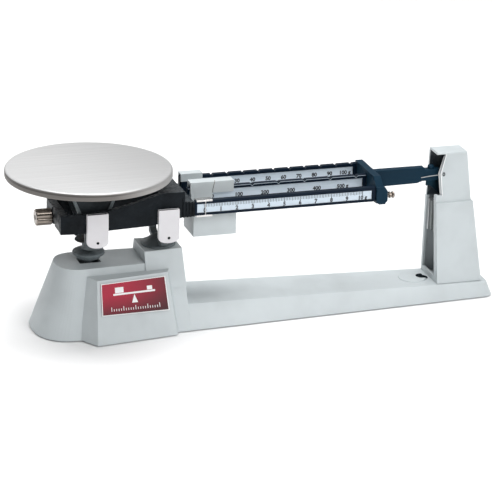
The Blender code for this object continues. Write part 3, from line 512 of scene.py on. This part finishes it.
# ---- repeated shapes -----------------------------------------------------------------
class Rule:
    """A geometry node group with named inputs, used once and turned into mesh."""

    def __init__(self, name):
        self.tree = bpy.data.node_groups.new(name, 'GeometryNodeTree')
        self.tree.interface.new_socket("Geometry", in_out='OUTPUT',
                                       socket_type='NodeSocketGeometry')
        self.sockets = {}
        self.values = {}

    def add(self, kind, inputs=None, **props):
        return put(self.tree, kind, inputs, **props)

    def input(self, name, value):
        kind = {int: 'NodeSocketInt', float: 'NodeSocketFloat'}.get(type(value),
                                                                     'NodeSocketVector')
        if isinstance(value, bpy.types.Material):
            kind = 'NodeSocketMaterial'
        socket = self.tree.interface.new_socket(name, in_out='INPUT', socket_type=kind)
        self.values[socket.identifier] = value
        if "group" not in self.sockets:
            self.sockets["group"] = self.tree.nodes.new('NodeGroupInput')
        return self.sockets["group"].outputs[name]

    def maths(self, operation, a, b=0.0):
        return self.add('ShaderNodeMath', {0: a, 1: b}, operation=operation).outputs[0]

    def vector(self, x=0.0, y=0.0, z=0.0):
        return self.add('ShaderNodeCombineXYZ', {0: x, 1: y, 2: z}).outputs[0]

    def build(self, name, geometry, material):
        """End the tree, evaluate it on a new object and return the plain mesh object."""
        realised = self.add('GeometryNodeRealizeInstances', {0: geometry}).outputs[0]
        painted = self.add('GeometryNodeSetMaterial',
                           {"Geometry": realised, "Material": material}).outputs[0]
        out = self.tree.nodes.new('NodeGroupOutput')
        self.tree.links.new(painted, out.inputs[0])
        obj = link_object(name, bpy.data.meshes.new(name))
        modifier = obj.modifiers.new("rule", 'NODES')
        modifier.node_group = self.tree
        for identifier, value in self.values.items():
            modifier[identifier] = value
        return freeze(obj)


def tick_row(name, start, pitch, count, lengths, per_group, material):
    """Printed divisions hanging down from a start point; every fifth and tenth is longer.

    lengths are (short, half, long); per_group is how many divisions a numbered step has.
    """
    rule = Rule(name)
    origin = rule.input("Start", tuple(start))
    step, number = rule.input("Pitch", float(pitch)), rule.input("Count", int(count))
    width = rule.input("Width", settings().tick_width)
    depth = rule.input("Depth", settings().print_depth)
    short, half, long = (rule.input(label, float(value)) for label, value in
                         zip(("Short", "Half", "Long"), lengths))
    group = rule.input("Group", int(per_group))
    ink = rule.input("Ink", material)
    line = rule.add('GeometryNodeMeshLine', {
        "Count": number, "Start Location": origin, "Offset": rule.vector(step)}).outputs[0]
    index = rule.add('GeometryNodeInputIndex').outputs[0]
    place = rule.maths('MODULO', index, group)
    is_long = rule.maths('LESS_THAN', place, 0.5)
    middle = rule.maths('COMPARE', place, rule.maths('MULTIPLY', group, 0.5))
    length = rule.maths('ADD', short, rule.maths('ADD', rule.maths(
        'MULTIPLY', is_long, rule.maths('SUBTRACT', long, short)), rule.maths(
        'MULTIPLY', middle, rule.maths('SUBTRACT', half, short))))
    bar = rule.add('GeometryNodeMeshCube', {"Size": (1.0, 1.0, 1.0)}).outputs[0]
    lowered = rule.add('GeometryNodeTransform', {
        "Geometry": bar, "Translation": (0.0, 0.0, -0.5)}).outputs[0]
    widen = rule.add('ShaderNodeMath', {0: is_long, 1: 0.35, 2: 1.0},
                     operation='MULTIPLY_ADD').outputs[0]
    scale = rule.vector(rule.maths('MULTIPLY', width, widen), depth, length)
    ticks = rule.add('GeometryNodeInstanceOnPoints', {
        "Points": line, "Instance": lowered, "Scale": scale}).outputs[0]
    return rule.build(name, ticks, ink)


def lettering(word, height):
    """A mesh of a printed word in the XY plane, centred across, standing on its baseline."""
    curve = bpy.data.curves.new("number", 'FONT')
    curve.body = word
    curve.size = height / CAP_HEIGHT
    curve.align_x = 'CENTER'
    curve.extrude = settings().print_depth * 0.5
    curve.offset = settings().stroke
    curve.resolution_u = 3
    return curve_mesh(curve)


# ---- pieces --------------------------------------------------------------------------
class BALANCE_OT_castings(bpy.types.Operator):
    """Cast and enamel the base and the pillar"""
    bl_idname = "balance.castings"
    bl_label = "Base and pillar"

    HOLE_X, HOLE_REACH = 169.7, 6.3  # the hole at the pillar's foot
    HOLLOW_X, HOLLOW_REACH = 18, 30  # the pillar's hollow, from its open side
    LIP = 4                          # its outer edge that keeps the enamel
    SOFFIT = 100                     # lowest height of the faces that look down into it
    DIGIT = 3.6                      # height of the printed zero
    LEAN = math.radians(3.8)         # how far the pillar's front face leans back
    MARK = (182.6, 121.2)            # X and Z of the foot of the printed zero on that face
    NOTCH_EDGE = ((181.2, 102.4), (179.2, 123.4), (184.4, 142.2))    # X and Z along it
    NOTCH_WIDTH = 0.9

    def front(self, x, z, proud=0.05):
        """A point a little proud of the pillar's leaning front face, from X and Z in mm."""
        return Vector((x, -13.4 + (z - 91.5) * math.tan(self.LEAN) - proud, z)) * MM

    def zero_mark(self):
        """The small printed zero beside the index plate's point."""
        mesh = lettering("0", self.DIGIT * MM)
        mesh.transform(Matrix.Translation(self.front(*self.MARK))
                       @ Matrix.Rotation(math.pi / 2 - self.LEAN, 4, 'X'))
        bm = bmesh.new()
        bm.from_mesh(mesh)
        bpy.data.meshes.remove(mesh)
        trim(mesh_object("zero_mark", bm), "base", finish_of("ink"))

    def notch_edge(self):
        """A white line down the edge of the pillar's pointer notch: a painted highlight on that
        edge.
        """
        rows = [[self.front(x + across, z, proud) for x, z in self.NOTCH_EDGE]
                for across, proud in ((0.1, 0.06), (self.NOTCH_WIDTH, 0.06),
                                      (self.NOTCH_WIDTH, -0.15), (0.1, -0.15))]
        # painted highlight, in the white print finish
        trim(swept("pillar_notch_highlight", rows), "base", finish_of("print"))

    def execute(self, context):
        edge = settings().casting_edge / MM
        base = settle(softened("base_casting", edge), "base_casting", finish_of("grey"))
        # painted shade in the hole at the pillar's foot
        paint_where(base, finish_of("shade"), faces_axis(
            self.HOLE_X * MM, 0.0, self.HOLE_REACH * MM))
        pillar = settle(softened("pillar_housing", edge * 0.45), "pillar_housing",
                        finish_of("grey"))
        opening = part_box("pillar_housing")[0].x
        inner = faces_axis(opening + self.HOLLOW_X * MM, 0.0, self.HOLLOW_REACH * MM)
        # the pillar's inner faces and the faces that look down into its hollow get the painted
        # shade of the hollow
        paint_where(pillar, finish_of("inside"), lambda face: (
            inner(face) and face.center.x > opening + self.LIP * MM)
            or (face.normal.z < -0.7 and face.center.z > self.SOFFIT * MM))
        self.zero_mark()
        self.notch_edge()
        return {'FINISHED'}


class BALANCE_OT_base_fittings(bpy.types.Operator):
    """Fit the rubber feet and the screws under the base"""
    bl_idname = "balance.base_fittings"
    bl_label = "Feet and screws"

    def execute(self, context):
        for end in ("pan_front", "pan_back", "pillar_front", "pillar_back"):
            node = "rubber_foot_" + end
            settle(softened(node, 0.0), node, finish_of("rubber"))
        finish_nodes({node: (finish_of("nickel"), 0.12) for node in
                      ("pillar_screw_front", "pillar_screw_back", "stand_screw")})
        return {'FINISHED'}


class BALANCE_OT_fulcrum(bpy.types.Operator):
    """Build the fulcrum stand, its bearings and the knives"""
    bl_idname = "balance.fulcrum"
    bl_label = "Fulcrum and knives"

    def execute(self, context):
        table = {"fulcrum_stand": (finish_of("cast grey"), 0.35)}
        for end in ("front", "back"):
            table["fulcrum_bearing_" + end] = (finish_of("agate"), 0.1)
            table["load_bearing_" + end] = (finish_of("agate"), 0.1)
            table["fulcrum_knife_" + end] = (finish_of("ground"), 0.05)
            table["load_knife_" + end] = (finish_of("ground"), 0.05)
        finish_nodes(table)
        return {'FINISHED'}


class BALANCE_OT_beam_castings(bpy.types.Operator):
    """Cast the beam frame and the three beams"""
    bl_idname = "balance.beam_castings"
    bl_label = "Beams"

    def execute(self, context):
        finish_nodes({
            "beam_casting": (finish_of("black"), 0.7),
            "front_beam": (finish_of("beam"), 0.25),
            "middle_beam": (finish_of("beam"), 0.2),
            "rear_beam": (finish_of("beam"), 0.2),
            "beam_yoke": (finish_of("navy"), 0.6),
            "pointer_arm": (finish_of("navy"), 0.6)})
        return {'FINISHED'}


class BALANCE_OT_scales(bpy.types.Operator):
    """Print the three scale plates"""
    bl_idname = "balance.scales"
    bl_label = "Scale plates"

    # first mark (X), step between numbers, numbers, divisions in a step, height of the numbers
    SCALES = {
        "front": (-56.3, 15.24, [str(i) for i in range(10)] + ["10 g"], 10, 0.5),
        "middle": (-41.4, 25.4, [str(i * 100) for i in range(5)] + ["500 g"], 0, 0.3),
        "rear": (-55.2, 15.24, [str(i * 10) for i in range(10)] + ["100 g"], 0, 1.4)}
    NOTCH = (25.4, 1.9, 1.7)     # pitch, half width and depth of the middle beam's notches
    TICKS = (3.1, 3.5, 4.0)      # lengths of the short, half and long divisions
    # section of the painted edge highlight: behind the beam's front face, below its top
    EDGE = ((-0.06, 0.25), (-0.06, 0.75), (0.2, 0.75), (0.2, 0.25))

    def numbers(self, label, face, low, labels, first, step):
        """One mesh of all the numbers on a plate."""
        bm = bmesh.new()
        height = settings().digit_height
        for i, word in enumerate(labels):
            mesh = lettering(word, height)
            mesh.transform(Matrix.Translation((
                (first + i * step) * MM, face - settings().print_depth * 0.5, low))
                @ Matrix.Rotation(math.pi / 2, 4, 'X'))
            bm.from_mesh(mesh)
            bpy.data.meshes.remove(mesh)
        bmesh.ops.remove_doubles(bm, verts=bm.verts, dist=0.001 * MM)
        return mesh_object(label + "_scale_numbers", bm)

    def execute(self, context):
        depth = settings().print_depth
        for label, (first, step, words, divisions, lift) in self.SCALES.items():
            node = label + "_scale_plate"
            settle(softened(node, 0.12, 2), node, finish_of("scale"))
            low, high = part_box(node)
            if divisions:
                count = divisions * (len(words) - 1) + 1
                ticks = tick_row(
                    label + "_scale_ticks", (first * MM, low.y - depth * 0.5, high.z),
                    step * MM / divisions, count, [v * MM for v in self.TICKS], divisions,
                    finish_of("ink"))
                trim(ticks, "beam", finish_of("ink"))
            trim(self.numbers(label, low.y, low.z + lift * MM, words, first, step), "beam",
                 finish_of("ink"))
        self.bright_edge()
        return {'FINISHED'}

    def bright_edge(self):
        """A bright strip along the top edge of the middle beam, dipping into its notches: a painted
        highlight on that edge.
        """
        low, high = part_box("middle_beam")
        pitch, half, deep = (value * MM for value in self.NOTCH)
        first = sum(corner.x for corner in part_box("middle_poise_pin")) / 2
        path = [(low.x + 0.5 * MM, high.z)]
        while first < high.x - half:
            path += [(first - half, high.z), (first, high.z - deep), (first + half, high.z)]
            first += pitch
        path.append((high.x - 0.5 * MM, high.z))
        rows = [[(x, low.y + y * MM, z - drop * MM) for x, z in path]
                for y, drop in self.EDGE]
        # the strip is a painted highlight in the scale plates' bright finish
        trim(swept("middle_beam_bright_edge", rows), "beam", finish_of("scale"))


class BALANCE_OT_poises(bpy.types.Operator):
    """Make the front rider and the two hanging poises"""
    bl_idname = "balance.poises"
    bl_label = "Poises"

    STRAP_DROP = 7.6     # from the top of the rear poise's saddle down to its strap, painted dark as painted shade
    WIRE = ((2.6, 3.0, -0.1), (2.0, -0.12, 0.0), (1.0, -0.12, 4.0), (0.2, -0.12, 8.0),
            (0.0, -0.12, 10.4))    # along X, behind the front face, below the top
    WIRE_X, WIRE_RADIUS = 21, 0.22

    def execute(self, context):
        finish_nodes({
            "front_rider": (finish_of("nickel"), 0.18),
            "middle_poise_saddle": (finish_of("grey"), 0.3),
            "middle_poise_weight": (finish_of("grey"), 0.0),
            "middle_poise_pin": (finish_of("ground"), 0.0),
            "rear_poise_saddle": (finish_of("grey"), 0.3),
            "rear_poise_weight": (finish_of("grey"), 0.0),
            "rear_poise_pin": (finish_of("ground"), 0.0)})
        # painted shade: the strap of the rear poise is painted with the dark beam enamel
        strap = bpy.data.objects["rear_poise_saddle_finished"]
        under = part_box("rear_poise_saddle")[1].z - self.STRAP_DROP * MM
        paint_where(strap, finish_of("beam"), lambda face: face.center.z < under)
        self.index_wire()
        return {'FINISHED'}

    def index_wire(self):
        """A fine index wire over the middle poise's saddle."""
        low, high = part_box("middle_poise_saddle")
        curve = bpy.data.curves.new("index_wire", 'CURVE')
        curve.dimensions = '3D'
        curve.bevel_depth = self.WIRE_RADIUS * MM
        curve.bevel_resolution = 2
        curve.use_fill_caps = True
        spline = curve.splines.new('POLY')
        spline.points.add(len(self.WIRE) - 1)
        for point, (along, behind, below) in zip(spline.points, self.WIRE):
            point.co = (low.x + (self.WIRE_X + along) * MM, low.y + behind * MM,
                        high.z - below * MM, 1.0)
        mesh = curve_mesh(curve)
        mesh.shade_smooth()
        trim(link_object("middle_poise_index_wire", mesh), "middle_poise", finish_of("knob"))


class BALANCE_OT_covers(bpy.types.Operator):
    """Press the four bearing covers"""
    bl_idname = "balance.covers"
    bl_label = "Bearing covers"

    ROOM = 4.5    # faces that look at each other across less than this are inside

    def execute(self, context):
        for place in ("load", "fulcrum"):
            for end in ("front", "back"):
                node = f"{place}_cover_{end}"
                cover = settle(softened(node, 0.3, 2), node, finish_of("white"))
                # painted shade on the faces that look into the cover's own hollow
                paint_where(cover, finish_of("shade"), looks_inside(
                    cover, self.ROOM * MM))
        return {'FINISHED'}


class BALANCE_OT_zero_knob(bpy.types.Operator):
    """Turn and rib the zero knob and its rod"""
    bl_idname = "balance.zero_knob"
    bl_label = "Zero knob"

    def execute(self, context):
        settle(softened("zero_rod", 0.2), "zero_rod", finish_of("nickel"))
        settle(softened("zero_knob", 0.2), "zero_knob", finish_of("knob"))
        return {'FINISHED'}


class BALANCE_OT_pan(bpy.types.Operator):
    """Build the pan support, the dust bell and the weighing plate"""
    bl_idname = "balance.pan"
    bl_label = "Pan and support"

    COLUMN_DROP = 62.6    # from the top of the support down to its column
    BORDER = 0.3          # faces this close to its front and back are its borders

    def execute(self, context):
        finish_nodes({
            "pan_support": (finish_of("dark"), 0.35),
            "dust_bell": (finish_of("cast grey"), 0.0),
            "weighing_plate": (finish_of("steel"), 0.0),
            "plate_locating_ring": (finish_of("steel"), 0.0),
            "check_rod_pin_stem": (finish_of("ground"), 0.0),
            "check_rod_pin_base": (finish_of("ground"), 0.0),
            "check_rod": (finish_of("ground"), 0.25),
            "check_rod_bracket": (finish_of("dark"), 0.25)})
        support = bpy.data.objects["pan_support_finished"]
        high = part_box("pan_support")[1]
        column_top = high.z - self.COLUMN_DROP * MM
        border = high.y - self.BORDER * MM
        # the column takes the lighter grey casting finish; on the front and back borders that
        # lighter grey is painted light along the lit edges
        paint_where(support, finish_of("cast grey"), lambda face: (
            face.center.z < column_top or (abs(face.center.y) > border
                                           and face.center.z > column_top)))
        return {'FINISHED'}


class BALANCE_OT_pointer(bpy.types.Operator):
    """Fit the pointer, its index plate and the magnetic damper"""
    bl_idname = "balance.pointer"
    bl_label = "Pointer and damper"

    def execute(self, context):
        finish_nodes({
            "pointer_needle": (finish_of("zinc"), 0.0),
            "index_plate": (finish_of("print"), 0.12),
            "arm_screw": (finish_of("navy"), 0.15),
            "weight_hanger_stud": (finish_of("knob"), 0.0),
            "damping_vane": (finish_of("vane"), 0.1),
            "damper_channel": (finish_of("zinc"), 0.25),
            "damper_magnet_front": (finish_of("ferrite"), 0.0),
            "damper_magnet_back": (finish_of("ferrite"), 0.0)})
        return {'FINISHED'}


class BALANCE_OT_badge(bpy.types.Operator):
    """Print the plain badge on the sloping panel"""
    bl_idname = "balance.badge"
    bl_label = "Badge"

    RIM = 0.012, 0.022    # width and height of the border, as shares of the face

    def face(self):
        """Corners of the badge's outer face: low left, low right, high right, high left."""
        bm = merged_copy("badge_plate")
        front = max(bm.faces, key=lambda f: -f.normal.y * f.calc_area())
        ends = sorted((v.co.copy() for v in front.verts), key=lambda c: c.x)
        normal = front.normal.copy()
        left, right = (sorted(pair, key=lambda c: c.z) for pair in (ends[:2], ends[-2:]))
        bm.free()
        return (left[0], right[0], right[1], left[1]), normal

    def shape(self, name, outlines, lift, finish):
        """Thin printed shapes; each outline is a list of (across, up) shares of the face."""
        (a, b, c, d), normal = self.face()
        bm = bmesh.new()
        for outline in outlines:
            rows = []
            for height in (0.0, lift):
                rows.append([bm.verts.new(
                    a.lerp(b, u).lerp(d.lerp(c, u), v) + normal * height) for u, v in outline])
            bm.faces.new(rows[0])
            bm.faces.new(rows[1])
            for i in range(len(outline)):
                j = (i + 1) % len(outline)
                bm.faces.new((rows[0][i], rows[0][j], rows[1][j], rows[1][i]))
        bmesh.ops.recalc_face_normals(bm, faces=bm.faces)
        return trim(mesh_object(name, bm), "base", finish)

    def execute(self, context):
        made = Finish("badge print", (0.40, 0.006, 0.035), 0.34, 0.0, Coat_Weight=0.3,
                      Coat_Roughness=0.12)
        axes = put(made.tree, 'ShaderNodeSeparateXYZ', {0: made.coord})
        low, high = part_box("badge_plate")
        made.paint((0.03, 0.003, 0.006), made.spread(
            axes.outputs[0], low.x + 0.35 * (high.x - low.x), high.x, 0.0, 0.75))
        made.paint((0.02, 0.003, 0.005), made.spread(
            axes.outputs[2], low.z + 0.62 * (high.z - low.z), low.z, 0.0, 0.9))
        made.paint((0.2, 0.004, 0.016), made.spread(made.noise(700, 3), 0.5, 0.8, 0, 0.25))
        made.bump(made.noise(500, 3), 0.01)
        settle(softened("badge_plate", 0.15), "badge_plate", made.material)
        depth = settings().print_depth
        u, v = self.RIM
        frame_edge = [[(0, 0), (1, 0), (1, v), (0, v)],
                      [(0, 1 - v), (1, 1 - v), (1, 1), (0, 1)],
                      [(0, v), (u, v), (u, 1 - v), (0, 1 - v)],
                      [(1 - u, v), (1, v), (1, 1 - v), (1 - u, 1 - v)]]
        self.shape("badge_border", frame_edge, depth, finish_of("print"))
        # a plain beam on a fulcrum with two weights, above a short ruled scale
        bar = [(0.18, 0.60), (0.82, 0.60), (0.82, 0.655), (0.18, 0.655)]
        fulcrum = [(0.455, 0.33), (0.545, 0.33), (0.5, 0.585)]
        weights = [[(x, 0.67), (x + w, 0.67), (x + w, 0.67 + h), (x, 0.67 + h)]
                   for x, w, h in ((0.21, 0.13, 0.17), (0.7, 0.08, 0.11))]
        rules = [[(x, 0.12), (x + 0.009, 0.12), (x + 0.009, top), (x, top)]
                 for x, top in ((0.14 + 0.036 * i, 0.25 if i % 5 == 0 else 0.19)
                                for i in range(21))]
        self.shape("badge_marks", [bar, fulcrum, *weights, *rules], depth, finish_of("print"))
        return {'FINISHED'}


# ---- stage ---------------------------------------------------------------------------
class BALANCE_OT_stage(bpy.types.Operator):
    """Set the floor, the lights and the camera"""
    bl_idname = "balance.stage"
    bl_label = "Stage"

    def floor(self, stage):
        bm = bmesh.new()
        bmesh.ops.create_grid(bm, x_segments=24, y_segments=24, size=6.0)
        obj = mesh_object("studio_floor", bm)
        made = Finish("studio paper", tuple(stage.floor_colour), 0.7)
        made.paint((0.94, 0.94, 0.945), made.spread(made.noise(3, 3), 0.4, 0.7, 0, 0.5))
        made.bump(made.noise(400, 3), 0.02)
        obj.data.materials.append(made.material)

    # name, place, aim, size and power
    LIGHTS = (("key softbox", (0.7, -1.9, 1.5), (0.0, 0.0, 0.05), (1.6, 1.2), 28),
              ("overhead softbox", (-0.1, 0.3, 2.4), (0.0, 0.0, 0.0), (2.0, 1.6), 58),
              ("back softbox", (-0.6, 2.6, 1.3), (0.0, 0.2, 0.1), (2.6, 1.0), 12))
    SKY = 0.31      # strength of the plain surroundings

    def light(self, name, place, aim, size, power):
        data = bpy.data.lights.new(name, 'AREA')
        data.shape = 'RECTANGLE'
        data.size, data.size_y = size
        data.energy = power
        obj = link_object(name, data)
        obj.location = place
        obj.rotation_euler = (Vector(aim) - Vector(place)).to_track_quat('-Z', 'Y').to_euler()

    def camera(self, stage):
        turn, tilt, roll = stage.camera_turn, stage.camera_tilt, stage.camera_roll
        forward = Vector((math.sin(turn) * math.cos(tilt), math.cos(turn) * math.cos(tilt),
                          -math.sin(tilt)))
        side = Vector((math.cos(turn), -math.sin(turn), 0.0))
        up = side.cross(forward)
        right = math.cos(roll) * side + math.sin(roll) * up
        up = -math.sin(roll) * side + math.cos(roll) * up
        data = bpy.data.cameras.new("camera")
        data.lens = stage.lens
        data.sensor_width = 36.0
        data.clip_start, data.clip_end = 0.05, 60.0
        obj = link_object("camera", data)
        axes = Matrix((right, up, -forward)).transposed().to_4x4()
        obj.matrix_world = Matrix.Translation(
            Vector(stage.target) - forward * stage.camera_distance) @ axes
        bpy.context.scene.camera = obj

    def execute(self, context):
        stage = context.scene.stage_settings
        self.floor(stage)
        for row in self.LIGHTS:
            self.light(*row)
        world = bpy.data.worlds.new("studio")
        world.use_nodes = True
        background = world.node_tree.nodes["Background"]
        background.inputs["Color"].default_value = (0.98, 0.99, 1.0, 1.0)
        background.inputs["Strength"].default_value = self.SKY
        context.scene.world = world
        context.scene.view_settings.view_transform = 'Standard'
        self.camera(stage)
        return {'FINISHED'}


class BALANCE_PT_panel(bpy.types.Panel):
    """The balance's pieces and settings"""
    bl_label = "Triple Beam Balance"
    bl_idname = "BALANCE_PT_panel"
    bl_space_type = 'VIEW_3D'
    bl_region_type = 'UI'
    bl_category = "Balance"

    def draw(self, context):
        scene = context.scene
        for group in (scene.balance_settings, scene.stage_settings):
            column = self.layout.column(align=True)
            for key in group.__annotations__:
                column.prop(group, key)
        column = self.layout.column()
        for maker in MAKERS:
            column.operator(maker.bl_idname)


MAKERS = (
    BALANCE_OT_castings, BALANCE_OT_base_fittings, BALANCE_OT_fulcrum, BALANCE_OT_beam_castings,
    BALANCE_OT_scales, BALANCE_OT_poises, BALANCE_OT_covers, BALANCE_OT_zero_knob,
    BALANCE_OT_pan, BALANCE_OT_pointer, BALANCE_OT_badge, BALANCE_OT_stage)
CLASSES = (BalanceSettings, StageSettings, *MAKERS, BALANCE_PT_panel)


def register():
    for item in CLASSES:
        bpy.utils.register_class(item)
    bpy.types.Scene.balance_settings = PointerProperty(type=BalanceSettings)
    bpy.types.Scene.stage_settings = PointerProperty(type=StageSettings)


def unregister():
    del bpy.types.Scene.stage_settings
    del bpy.types.Scene.balance_settings
    for item in reversed(CLASSES):
        bpy.utils.unregister_class(item)


def main():
    register()
    for maker in MAKERS:
        group, action = maker.bl_idname.split(".")
        getattr(getattr(bpy.ops, group), action)()


if __name__ == "__main__":
    main()
